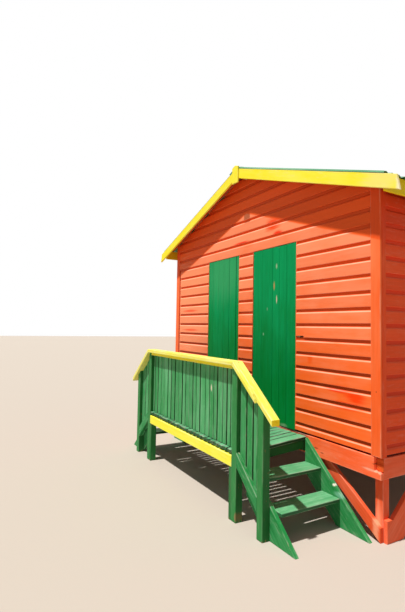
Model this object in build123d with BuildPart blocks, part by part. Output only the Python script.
from build123d import *
import os
from math import cos, hypot, radians, tan

os.makedirs("parts", exist_ok=True)

# A painted timber beach hut on short posts, with two plank doors and a porch between two
# flights of steps. Millimetres, Z up, the front faces -Y, the ground is at Z = 0.

# Shell
hut_width = 3750.0
hut_depth = 2600.0
wall_thickness = 60.0
wall_setback = 4.0
corner_face = 96.0
corner_return = 76.0
sill_height = 680.0
door_head = 1920.0
ridge_height = 2935.0

# Roof
roof_pitch = 19.0
sheet_depth = 20.0
eave_overhang = 175.0
verge_overhang = 155.0
ridge_cap_wing = 150.0
ridge_cap_thickness = 3.0
fascia_offset = 127.0
fascia_thickness = 20.0
fascia_height = 130.0
rafter_width = 38.0
rafter_depth = 76.0
rafter_count = 5
ridge_board_thickness = 25.0
ridge_board_depth = 105.0
barge_thickness = 25.0
barge_depth = 110.0
barge_overrun = 85.0
barge_rake = 25.0
apex_plate_width = 120.0
apex_plate_height = 214.0
apex_plate_rise = 32.0
apex_plate_thickness = 20.0

# Floor frame and foundation
beam_height = 168.0
beam_thickness = 38.0
beam_notch_length = 65.0
beam_notch_height = 110.0
floor_thickness = 22.0
joist_width = 38.0
joist_depth = 110.0
joist_spacing = 600.0
foundation_post = 76.0
end_brace_width = 96.0
end_brace_slope = 36.0
end_brace_lap = 28.0
side_brace_width = 220.0
side_brace_slope = 42.0
side_brace_foot_height = 180.0
side_brace_foot_length = 74.0

# Doors and their strap hinges
door_width = 719.0
pier_width = 289.0
hinge_gap = 6.0
door_clearance = 6.0
swing_clearance = 5.5
door_board = 22.0
ledge_width = 120.0
ledge_inset = 200.0
door_brace_width = 90.0
strap_length = 320.0
strap_width = 36.0
strap_thickness = 4.0
hinge_plate_length = 60.0
knuckle_radius = 8.0
knuckle_length = 24.0
knuckle_clearance = 0.5
knuckle_neck = 14.0
pin_radius = 4.0
pin_clearance = 0.05

# Porch
deck_height = 672.0
deck_fall = 60.0
deck_thickness = 34.0
deck_overhang = 33.0
deck_setback = 5.0
porch_reach = 800.0
porch_width = 2024.0
post_size = 76.0
prop_width = 36.0
porch_beam_height = 100.0
porch_beam_thickness = 38.0
porch_beam_drop = 49.0
bearer_depth = 116.0
bearer_thickness = 38.0
ledger_depth = 100.0
porch_joist_depth = 76.0
porch_joist_width = 38.0
porch_joist_spacing = 660.0
rail_height = 733.0
cap_width = 110.0
cap_thickness = 38.0
cap_overhang = 35.0
top_rail_depth = 34.0
top_rail_thickness = 40.0
panel_thickness = 22.0

# Steps
riser = 200.0
going = 220.0
first_riser = 227.0
first_nosing = 227.0
tread_depth = 205.0
tread_thickness = 32.0
stringer_depth = 235.0
stringer_thickness = 38.0
stringer_drop = 8.0
stringer_gap = 20.0
outer_stringer_drop = 95.0
newel_gap = 300.0
handrail_slope = 39.0
handrail_overrun = 117.0
foot_rail_depth = 90.0
foot_rail_start = 607.0

# Places worked out from the sizes above
half_width = hut_width / 2
rise_per_run = tan(radians(roof_pitch))
per_slope = 1 / cos(radians(roof_pitch))
ridge_z = sill_height + ridge_height
front_reach = porch_reach + cap_overhang
rear_reach = verge_overhang + apex_plate_thickness
front_y = (front_reach - hut_depth - rear_reach) / 2
back_y = front_y + hut_depth
middle_y = (front_y + back_y) / 2
middle_plane = Plane.XZ.offset(-middle_y)


def roof_z(x):
    """Height of the underside of the roof sheets at a distance from the ridge."""
    return ridge_z - abs(x) * rise_per_run


def timber(x, y, z):
    """A squared piece between two limits along each axis."""
    with Locations(((x[0] + x[1]) / 2, (y[0] + y[1]) / 2, (z[0] + z[1]) / 2)):
        Box(x[1] - x[0], y[1] - y[0], z[1] - z[0])


def front_outline(points, y):
    """An outline seen from the front, as (x, z) points, made solid between two limits of y."""
    with BuildSketch(Plane.XZ.offset(-y[1])) as outline:
        Polygon(*points, align=None)
    extrude(outline.sketch, amount=y[1] - y[0])


def side_outline(points, x):
    """An outline seen from the side, as (y, z) points, made solid between two limits of x."""
    with BuildSketch(Plane.YZ.offset(x[0])) as outline:
        Polygon(*points, align=None)
    extrude(outline.sketch, amount=x[1] - x[0])


# Foundation: nine posts under the floor, beams round its edge and braces at the corners
beam_bottom = sill_height - beam_height
floor_bottom = sill_height - floor_thickness
inner_x = half_width - beam_thickness
inner_front = front_y + beam_thickness
inner_back = back_y - beam_thickness
post_front = inner_front + beam_thickness

with BuildPart() as foundation_posts:
    post_x = inner_x - foundation_post / 2
    post_y = post_front + foundation_post / 2
    for x in (-post_x, 0, post_x):
        for y in (post_y, middle_y, 2 * middle_y - post_y):
            timber(
                (x - foundation_post / 2, x + foundation_post / 2),
                (y - foundation_post / 2, y + foundation_post / 2),
                (0, floor_bottom),
            )
foundation_posts.part.label = "foundation_posts"
export_step(foundation_posts.part, "parts/foundation_posts.step")

# The front beam has lost the upper part of its right end
with BuildPart() as front_beam:
    timber((-half_width, half_width), (front_y, inner_front), (beam_bottom, sill_height))
    with BuildPart(mode=Mode.PRIVATE) as beam_notch:
        timber(
            (half_width - beam_notch_length, half_width),
            (front_y, inner_front),
            (sill_height - beam_notch_height, sill_height),
        )
    add(beam_notch.part, mode=Mode.SUBTRACT)
front_beam.part.label = "front_beam"
export_step(front_beam.part, "parts/front_beam.step")

with BuildPart() as back_beam:
    timber((-half_width, half_width), (inner_back, back_y), (beam_bottom, sill_height))
back_beam.part.label = "back_beam"
export_step(back_beam.part, "parts/back_beam.step")

with BuildPart() as side_beams:
    timber((inner_x, half_width), (inner_front, inner_back), (beam_bottom, sill_height))
    mirror(about=Plane.YZ)
side_beams.part.label = "side_beams"
export_step(side_beams.part, "parts/side_beams.step")

with BuildPart() as floor_joists:
    for place in (-2, -1, 1, 2):
        x = place * joist_spacing
        timber(
            (x - joist_width / 2, x + joist_width / 2),
            (inner_front, inner_back),
            (floor_bottom - joist_depth, floor_bottom),
        )
floor_joists.part.label = "floor_joists"
export_step(floor_joists.part, "parts/floor_joists.step")

with BuildPart() as floor:
    timber((-inner_x, inner_x), (inner_front, inner_back), (floor_bottom, sill_height))
floor.part.label = "floor"
export_step(floor.part, "parts/floor.step")

# Diagonal boards behind the front and back beams, from the foot of each corner post
with BuildPart() as end_braces:
    run = tan(radians(end_brace_slope))
    upright = end_brace_width / cos(radians(end_brace_slope))
    brace_top = beam_bottom + end_brace_lap
    front_outline(
        [
            (inner_x, 0),
            (inner_x, upright),
            (inner_x - (brace_top - upright) / run, brace_top),
            (inner_x - brace_top / run, brace_top),
        ],
        (inner_front, post_front),
    )
    mirror(about=Plane.YZ)
    mirror(about=middle_plane)
end_braces.part.label = "end_braces"
export_step(end_braces.part, "parts/end_braces.step")

# Wider diagonal boards under the side beams
with BuildPart() as side_braces:
    run = tan(radians(side_brace_slope))
    level_width = side_brace_width / cos(radians(side_brace_slope)) / run
    shoulder_y = post_front + side_brace_foot_length
    upper_y = shoulder_y + (beam_bottom - side_brace_foot_height) / run
    side_outline(
        [
            (post_front, 0),
            (post_front, side_brace_foot_height),
            (shoulder_y, side_brace_foot_height),
            (upper_y, beam_bottom),
            (upper_y + level_width, beam_bottom),
            (upper_y + level_width - beam_bottom / run, 0),
        ],
        (inner_x, half_width),
    )
    mirror(about=Plane.YZ)
    mirror(about=middle_plane)
side_braces.part.label = "side_braces"
export_step(side_braces.part, "parts/side_braces.step")

# Roof timbers, made before the walls that are notched round them
fascia_inner = half_width + fascia_offset
fascia_outer = fascia_inner + fascia_thickness
barge_inner_front = front_y - verge_overhang + barge_thickness
barge_inner_back = back_y + verge_overhang - barge_thickness
corner_inner = half_width - corner_face

with BuildPart() as ridge_board:
    board_edge = ridge_board_thickness / 2
    front_outline(
        [
            (-board_edge, ridge_z - ridge_board_depth),
            (board_edge, ridge_z - ridge_board_depth),
            (board_edge, roof_z(board_edge)),
            (0, ridge_z),
            (-board_edge, roof_z(board_edge)),
        ],
        (barge_inner_front, barge_inner_back),
    )
ridge_board.part.label = "ridge_board"
export_step(ridge_board.part, "parts/ridge_board.step")

with BuildPart() as rafters:
    upright = rafter_depth * per_slope
    first_y = front_y + corner_return
    last_y = back_y - corner_return - rafter_width
    for place in range(rafter_count):
        y = first_y + (last_y - first_y) * place / (rafter_count - 1)
        front_outline(
            [
                (board_edge, roof_z(board_edge)),
                (board_edge, roof_z(board_edge) - upright),
                (fascia_inner, roof_z(fascia_inner) - upright),
                (fascia_inner, roof_z(fascia_inner)),
            ],
            (y, y + rafter_width),
        )
    mirror(about=Plane.YZ)
rafters.part.label = "rafters"
export_step(rafters.part, "parts/rafters.step")

# Corner posts, and the wall slabs between them
with BuildPart() as corner_posts:
    front_outline(
        [
            (corner_inner, sill_height),
            (half_width, sill_height),
            (half_width, roof_z(half_width)),
            (corner_inner, roof_z(corner_inner)),
        ],
        (front_y, front_y + corner_return),
    )
    mirror(about=Plane.YZ)
    mirror(about=middle_plane)
corner_posts.part.label = "corner_posts"
export_step(corner_posts.part, "parts/corner_posts.step")

wall_outer = front_y + wall_setback
wall_inner = wall_outer + wall_thickness
front_span = (wall_outer, wall_inner)
hinge_y = wall_inner + knuckle_radius
swing_run = door_width + hinge_gap / 2
free_gap = hypot(swing_run, wall_thickness + knuckle_radius) - swing_run + swing_clearance
door_free_x = pier_width / 2 + free_gap
door_hinge_x = door_free_x + door_width
opening_x = door_hinge_x + hinge_gap
hinge_x = door_hinge_x + hinge_gap / 2
head_z = sill_height + door_head

with BuildPart() as front_wall_centre:
    timber((-pier_width / 2, pier_width / 2), front_span, (sill_height, head_z))
front_wall_centre.part.label = "front_wall_centre"
export_step(front_wall_centre.part, "parts/front_wall_centre.step")

with BuildPart() as front_wall_right:
    timber((opening_x, corner_inner), front_span, (sill_height, head_z))
front_wall_right.part.label = "front_wall_right"
export_step(front_wall_right.part, "parts/front_wall_right.step")

with BuildPart() as front_wall_left:
    mirror(front_wall_right.part, about=Plane.YZ)
front_wall_left.part.label = "front_wall_left"
export_step(front_wall_left.part, "parts/front_wall_left.step")

with BuildPart() as front_gable:
    front_outline(
        [
            (-corner_inner, head_z),
            (corner_inner, head_z),
            (corner_inner, roof_z(corner_inner)),
            (0, ridge_z),
            (-corner_inner, roof_z(corner_inner)),
        ],
        front_span,
    )
    add(ridge_board.part, mode=Mode.SUBTRACT)
front_gable.part.label = "front_gable"
export_step(front_gable.part, "parts/front_gable.step")

with BuildPart() as back_wall:
    front_outline(
        [
            (-corner_inner, sill_height),
            (corner_inner, sill_height),
            (corner_inner, roof_z(corner_inner)),
            (0, ridge_z),
            (-corner_inner, roof_z(corner_inner)),
        ],
        (2 * middle_y - wall_inner, 2 * middle_y - wall_outer),
    )
    add(ridge_board.part, mode=Mode.SUBTRACT)
back_wall.part.label = "back_wall"
export_step(back_wall.part, "parts/back_wall.step")

with BuildPart() as right_wall:
    side_outer = half_width - wall_setback
    side_inner = side_outer - wall_thickness
    front_outline(
        [
            (side_inner, sill_height),
            (side_outer, sill_height),
            (side_outer, roof_z(side_outer)),
            (side_inner, roof_z(side_inner)),
        ],
        (front_y + corner_return, back_y - corner_return),
    )
    add(rafters.part, mode=Mode.SUBTRACT)
right_wall.part.label = "right_wall"
export_step(right_wall.part, "parts/right_wall.step")

with BuildPart() as left_wall:
    mirror(right_wall.part, about=Plane.YZ)
left_wall.part.label = "left_wall"
export_step(left_wall.part, "parts/left_wall.step")

# Roof sheets, ridge cap, eave fascias, bargeboards and the plates over their joints
verge_span = (front_y - verge_overhang, back_y + verge_overhang)
eave_x = half_width + eave_overhang
sheet_rise = sheet_depth * per_slope

with BuildPart() as roof_right:
    front_outline(
        [
            (0, ridge_z),
            (eave_x, roof_z(eave_x)),
            (eave_x, roof_z(eave_x) + sheet_rise),
            (0, ridge_z + sheet_rise),
        ],
        verge_span,
    )
roof_right.part.label = "roof_right"
export_step(roof_right.part, "parts/roof_right.step")

with BuildPart() as roof_left:
    mirror(roof_right.part, about=Plane.YZ)
roof_left.part.label = "roof_left"
export_step(roof_left.part, "parts/roof_left.step")

with BuildPart() as ridge_cap:
    cap_low = roof_z(ridge_cap_wing) + sheet_rise
    cap_rise = ridge_cap_thickness * per_slope
    front_outline(
        [
            (0, ridge_z + sheet_rise),
            (ridge_cap_wing, cap_low),
            (ridge_cap_wing, cap_low + cap_rise),
            (0, ridge_z + sheet_rise + cap_rise),
            (-ridge_cap_wing, cap_low + cap_rise),
            (-ridge_cap_wing, cap_low),
        ],
        verge_span,
    )
ridge_cap.part.label = "ridge_cap"
export_step(ridge_cap.part, "parts/ridge_cap.step")

with BuildPart() as fascia_boards:
    fascia_bottom = roof_z(fascia_outer) - fascia_height
    front_outline(
        [
            (fascia_inner, fascia_bottom),
            (fascia_outer, fascia_bottom),
            (fascia_outer, roof_z(fascia_outer)),
            (fascia_inner, roof_z(fascia_inner)),
        ],
        (barge_inner_front, barge_inner_back),
    )
    mirror(about=Plane.YZ)
fascia_boards.part.label = "fascia_boards"
export_step(fascia_boards.part, "parts/fascia_boards.step")

with BuildPart() as front_barge_right:
    barge_end = eave_x + barge_overrun
    barge_foot = barge_end + barge_rake
    barge_upright = barge_depth * per_slope
    front_outline(
        [
            (0, ridge_z),
            (barge_end, roof_z(barge_end)),
            (barge_foot, roof_z(barge_foot) - barge_upright),
            (0, ridge_z - barge_upright),
        ],
        (verge_span[0], barge_inner_front),
    )
front_barge_right.part.label = "front_barge_right"
export_step(front_barge_right.part, "parts/front_barge_right.step")

with BuildPart() as front_barge_left:
    mirror(front_barge_right.part, about=Plane.YZ)
front_barge_left.part.label = "front_barge_left"
export_step(front_barge_left.part, "parts/front_barge_left.step")

with BuildPart() as back_barge_right:
    mirror(front_barge_right.part, about=middle_plane)
back_barge_right.part.label = "back_barge_right"
export_step(back_barge_right.part, "parts/back_barge_right.step")

with BuildPart() as back_barge_left:
    mirror(front_barge_left.part, about=middle_plane)
back_barge_left.part.label = "back_barge_left"
export_step(back_barge_left.part, "parts/back_barge_left.step")

with BuildPart() as apex_plates:
    plate_edge = apex_plate_width / 2
    plate_top = ridge_z + apex_plate_rise
    plate_bottom = plate_top - apex_plate_height
    front_outline(
        [
            (-plate_edge, plate_bottom),
            (plate_edge, plate_bottom),
            (plate_edge, plate_top - plate_edge * rise_per_run),
            (0, plate_top),
            (-plate_edge, plate_top - plate_edge * rise_per_run),
        ],
        (verge_span[0] - apex_plate_thickness, verge_span[0]),
    )
    mirror(about=middle_plane)
apex_plates.part.label = "apex_plates"
export_step(apex_plates.part, "parts/apex_plates.step")

# Doors: upright boards on three ledges with two diagonals, as thick as the wall
door_bottom = sill_height + door_clearance
door_top = head_z - door_clearance
ledge_span = (wall_outer + door_board, wall_inner)
ledge_centres = (
    door_bottom + ledge_inset,
    (door_bottom + door_top) / 2,
    door_top - ledge_inset,
)

with BuildPart() as right_door:
    timber((door_free_x, door_hinge_x), (wall_outer, ledge_span[0]), (door_bottom, door_top))
    for z in ledge_centres:
        timber(
            (door_free_x, door_hinge_x),
            ledge_span,
            (z - ledge_width / 2, z + ledge_width / 2),
        )
    for low, high in ((0, 1), (1, 2)):
        low_z = ledge_centres[low] + ledge_width / 2
        high_z = ledge_centres[high] - ledge_width / 2
        front_outline(
            [
                (door_hinge_x, low_z),
                (door_hinge_x - door_brace_width, low_z),
                (door_free_x, high_z),
                (door_free_x + door_brace_width, high_z),
            ],
            ledge_span,
        )
right_door.part.label = "right_door"
export_step(right_door.part, "parts/right_door.step")

with BuildPart() as left_door:
    mirror(right_door.part, about=Plane.YZ)
left_door.part.label = "left_door"
export_step(left_door.part, "parts/left_door.step")

# Strap hinges on the inside, one at each ledge
neck_half = knuckle_length / 2
barrel_end = neck_half + knuckle_clearance + knuckle_length
plate_span = (wall_inner, wall_inner + strap_thickness)

with BuildPart() as right_door_hinges:
    for z in ledge_centres:
        timber(
            (hinge_x - strap_length, hinge_x - knuckle_neck),
            plate_span,
            (z - strap_width / 2, z + strap_width / 2),
        )
        timber((hinge_x - knuckle_neck, hinge_x), plate_span, (z - neck_half, z + neck_half))
        with Locations((hinge_x, hinge_y, z)):
            Cylinder(knuckle_radius, knuckle_length)
            Cylinder(pin_radius + pin_clearance, knuckle_length, mode=Mode.SUBTRACT)
right_door_hinges.part.label = "right_door_hinges"
export_step(right_door_hinges.part, "parts/right_door_hinges.step")

with BuildPart() as left_door_hinges:
    mirror(right_door_hinges.part, about=Plane.YZ)
left_door_hinges.part.label = "left_door_hinges"
export_step(left_door_hinges.part, "parts/left_door_hinges.step")

with BuildPart() as wall_hinges:
    for z in ledge_centres:
        timber(
            (hinge_x + knuckle_neck, hinge_x + knuckle_neck + hinge_plate_length),
            plate_span,
            (z - barrel_end, z + barrel_end),
        )
        with Locations((hinge_x, hinge_y, z)):
            Cylinder(pin_radius, 2 * barrel_end)
        for side in (-1, 1):
            near = z + side * (neck_half + knuckle_clearance)
            far = z + side * barrel_end
            timber((hinge_x, hinge_x + knuckle_neck), plate_span, (min(near, far), max(near, far)))
            with Locations((hinge_x, hinge_y, (near + far) / 2)):
                Cylinder(knuckle_radius, knuckle_length)
    mirror(about=Plane.YZ)
wall_hinges.part.label = "wall_hinges"
export_step(wall_hinges.part, "parts/wall_hinges.step")

# Porch frame: a ledger on the hut, a bearer and a beam between the posts, joists between them.
# The deck falls away from the hut, and what carries it follows its slope.
post_outer = porch_width / 2
post_inner = post_outer - post_size
deck_end = post_outer + deck_overhang
porch_front = front_y - porch_reach
post_back = porch_front + post_size
deck_front = porch_front + deck_setback
beam_back = porch_front + porch_beam_thickness
beam_top = deck_height - deck_fall - porch_beam_drop
beam_under = beam_top - porch_beam_height
ledger_front = front_y - bearer_thickness


def deck_top(y):
    """Height of the top of the deck at a place along Y."""
    return deck_height - deck_fall * (front_y - y) / (front_y - deck_front)


def under_deck(x, y, upper, lower):
    """A piece between two limits of x and y, whose top and bottom lie below the deck's top."""
    side_outline(
        [
            (y[0], deck_top(y[0]) - upper),
            (y[0], deck_top(y[0]) - lower),
            (y[1], deck_top(y[1]) - lower),
            (y[1], deck_top(y[1]) - upper),
        ],
        x,
    )


ledger_reach = deck_thickness + ledger_depth
bearer_reach = deck_thickness + bearer_depth
joist_reach = deck_thickness + porch_joist_depth

with BuildPart() as porch_bearers:
    under_deck((-deck_end, deck_end), (ledger_front, front_y), deck_thickness, ledger_reach)
    under_deck((-post_inner, post_inner), (beam_back, post_back), deck_thickness, bearer_reach)
porch_bearers.part.label = "porch_bearers"
export_step(porch_bearers.part, "parts/porch_bearers.step")

with BuildPart() as porch_beam:
    timber((-post_inner, post_inner), (porch_front, beam_back), (beam_under, beam_top))
porch_beam.part.label = "porch_beam"
export_step(porch_beam.part, "parts/porch_beam.step")

with BuildPart() as porch_joists:
    for x in (porch_joist_spacing / 2, deck_end - porch_joist_width / 2):
        under_deck(
            (x - porch_joist_width / 2, x + porch_joist_width / 2),
            (post_back, ledger_front),
            deck_thickness,
            joist_reach,
        )
    mirror(about=Plane.YZ)
porch_joists.part.label = "porch_joists"
export_step(porch_joists.part, "parts/porch_joists.step")

# The deck reaches past the posts behind them and stops short of their faces between them
with BuildPart() as deck:
    under_deck((-deck_end, deck_end), (post_back, front_y), 0, deck_thickness)
    under_deck((-post_inner, post_inner), (deck_front, post_back), 0, deck_thickness)
deck.part.label = "deck"
export_step(deck.part, "parts/deck.step")

# Rails: a level cap between the flights, and a sloping cap over each flight
cap_top = deck_height + rail_height
cap_under = cap_top - cap_thickness
cap_span = (front_y - front_reach, front_y - front_reach + cap_width)
handrail_fall = tan(radians(handrail_slope))
mitre_low = post_inner + post_size / 2
mitre_high = mitre_low + cap_thickness * tan(radians(handrail_slope / 2))


def handrail_under(x):
    """Height of the underside of the rail caps at a distance from the middle of the porch."""
    return cap_under - max(0, x - mitre_low) * handrail_fall


def handrail_top(x):
    """Height of the top of the rail caps at a distance from the middle of the porch."""
    return cap_top - max(0, x - mitre_high) * handrail_fall


with BuildPart() as porch_handrail:
    front_outline(
        [
            (-mitre_low, cap_under),
            (mitre_low, cap_under),
            (mitre_high, cap_top),
            (-mitre_high, cap_top),
        ],
        cap_span,
    )
porch_handrail.part.label = "porch_handrail"
export_step(porch_handrail.part, "parts/porch_handrail.step")

newel_inner = post_outer + newel_gap
newel_outer = newel_inner + post_size
handrail_end = newel_outer + handrail_overrun

with BuildPart() as stair_handrails:
    front_outline(
        [
            (mitre_low, cap_under),
            (handrail_end, handrail_under(handrail_end)),
            (handrail_end, handrail_top(handrail_end)),
            (mitre_high, cap_top),
        ],
        cap_span,
    )
    mirror(about=Plane.YZ)
stair_handrails.part.label = "stair_handrails"
export_step(stair_handrails.part, "parts/stair_handrails.step")

# The two tall posts carry the beam, and a newel stands at the foot of each flight
with BuildPart() as porch_posts:
    front_outline(
        [
            (post_inner, 0),
            (post_outer, 0),
            (post_outer, handrail_under(post_outer)),
            (mitre_low, cap_under),
            (post_inner, cap_under),
        ],
        (porch_front, post_back),
    )
    front_outline(
        [
            (newel_inner, 0),
            (newel_outer, 0),
            (newel_outer, handrail_under(newel_outer)),
            (newel_inner, handrail_under(newel_inner)),
        ],
        (porch_front, post_back),
    )
    mirror(about=Plane.YZ)
porch_posts.part.label = "porch_posts"
export_step(porch_posts.part, "parts/porch_posts.step")

with BuildPart() as beam_props:
    side_outline(
        [
            (porch_front, 0),
            (porch_front, beam_under),
            (beam_back, beam_under),
            (beam_back, deck_top(beam_back) - bearer_reach),
            (post_back, deck_top(post_back) - bearer_reach),
            (post_back, 0),
        ],
        (post_inner - prop_width, post_inner),
    )
    mirror(about=Plane.YZ)
beam_props.part.label = "beam_props"
export_step(beam_props.part, "parts/beam_props.step")

# Boarded panels behind the rails, the rail over the level one and the rails at the feet
panel_front = porch_front + top_rail_thickness
panel_span = (panel_front, panel_front + panel_thickness)
foot_fall = riser / going


def foot_rail_top(x):
    """Height of the upper edge of the sloping rail at the foot of a stair panel."""
    return foot_rail_start - (x - post_outer) * foot_fall


foot_rail_upright = foot_rail_depth * hypot(1, foot_fall)

with BuildPart() as top_rail:
    timber((-post_inner, post_inner), (porch_front, panel_front), (cap_under - top_rail_depth, cap_under))
top_rail.part.label = "top_rail"
export_step(top_rail.part, "parts/top_rail.step")

with BuildPart() as rail_panels:
    side_outline(
        [
            (panel_span[0], deck_top(panel_span[0])),
            (panel_span[1], deck_top(panel_span[1])),
            (panel_span[1], cap_under),
            (panel_span[0], cap_under),
        ],
        (-post_inner, post_inner),
    )
    front_outline(
        [
            (post_outer, foot_rail_top(post_outer) - foot_rail_upright),
            (newel_inner, foot_rail_top(newel_inner) - foot_rail_upright),
            (newel_inner, handrail_under(newel_inner)),
            (post_outer, handrail_under(post_outer)),
        ],
        panel_span,
    )
    mirror(about=Plane.YZ)
rail_panels.part.label = "rail_panels"
export_step(rail_panels.part, "parts/rail_panels.step")

with BuildPart() as foot_rails:
    front_outline(
        [
            (post_outer, foot_rail_top(post_outer)),
            (post_outer, foot_rail_top(post_outer) - foot_rail_upright),
            (newel_inner, foot_rail_top(newel_inner) - foot_rail_upright),
            (newel_inner, foot_rail_top(newel_inner)),
        ],
        (porch_front, panel_front),
    )
    mirror(about=Plane.YZ)
foot_rails.part.label = "foot_rails"
export_step(foot_rails.part, "parts/foot_rails.step")

# Steps: two treads a side, between a stringer on the hut and a lower one behind the newel
inner_stringer_front = front_y - stringer_thickness
stringer_start = deck_end + stringer_gap
outer_stringer_back = post_back + stringer_thickness
stringer_upright = stringer_depth * hypot(1, foot_fall)


def stringer_outline(top):
    """Outline of a stringer whose upper edge starts beside the deck at this height."""
    return [
        (stringer_start, top),
        (stringer_start, top - stringer_upright),
        (stringer_start + (top - stringer_upright) / foot_fall, 0),
        (stringer_start + top / foot_fall, 0),
    ]


with BuildPart() as stringers:
    inner_top = deck_height - stringer_drop
    front_outline(stringer_outline(inner_top), (inner_stringer_front, front_y))
    front_outline(
        stringer_outline(inner_top - outer_stringer_drop), (post_back, outer_stringer_back)
    )
    mirror(about=Plane.YZ)
stringers.part.label = "stringers"
export_step(stringers.part, "parts/stringers.step")

with BuildPart() as treads:
    for step in (1, 2):
        nosing = deck_end + first_nosing + (step - 1) * going
        top = deck_height - first_riser - (step - 1) * riser
        timber(
            (nosing - tread_depth, nosing),
            (outer_stringer_back, inner_stringer_front),
            (top - tread_thickness, top),
        )
    mirror(about=Plane.YZ)
treads.part.label = "treads"
export_step(treads.part, "parts/treads.step")
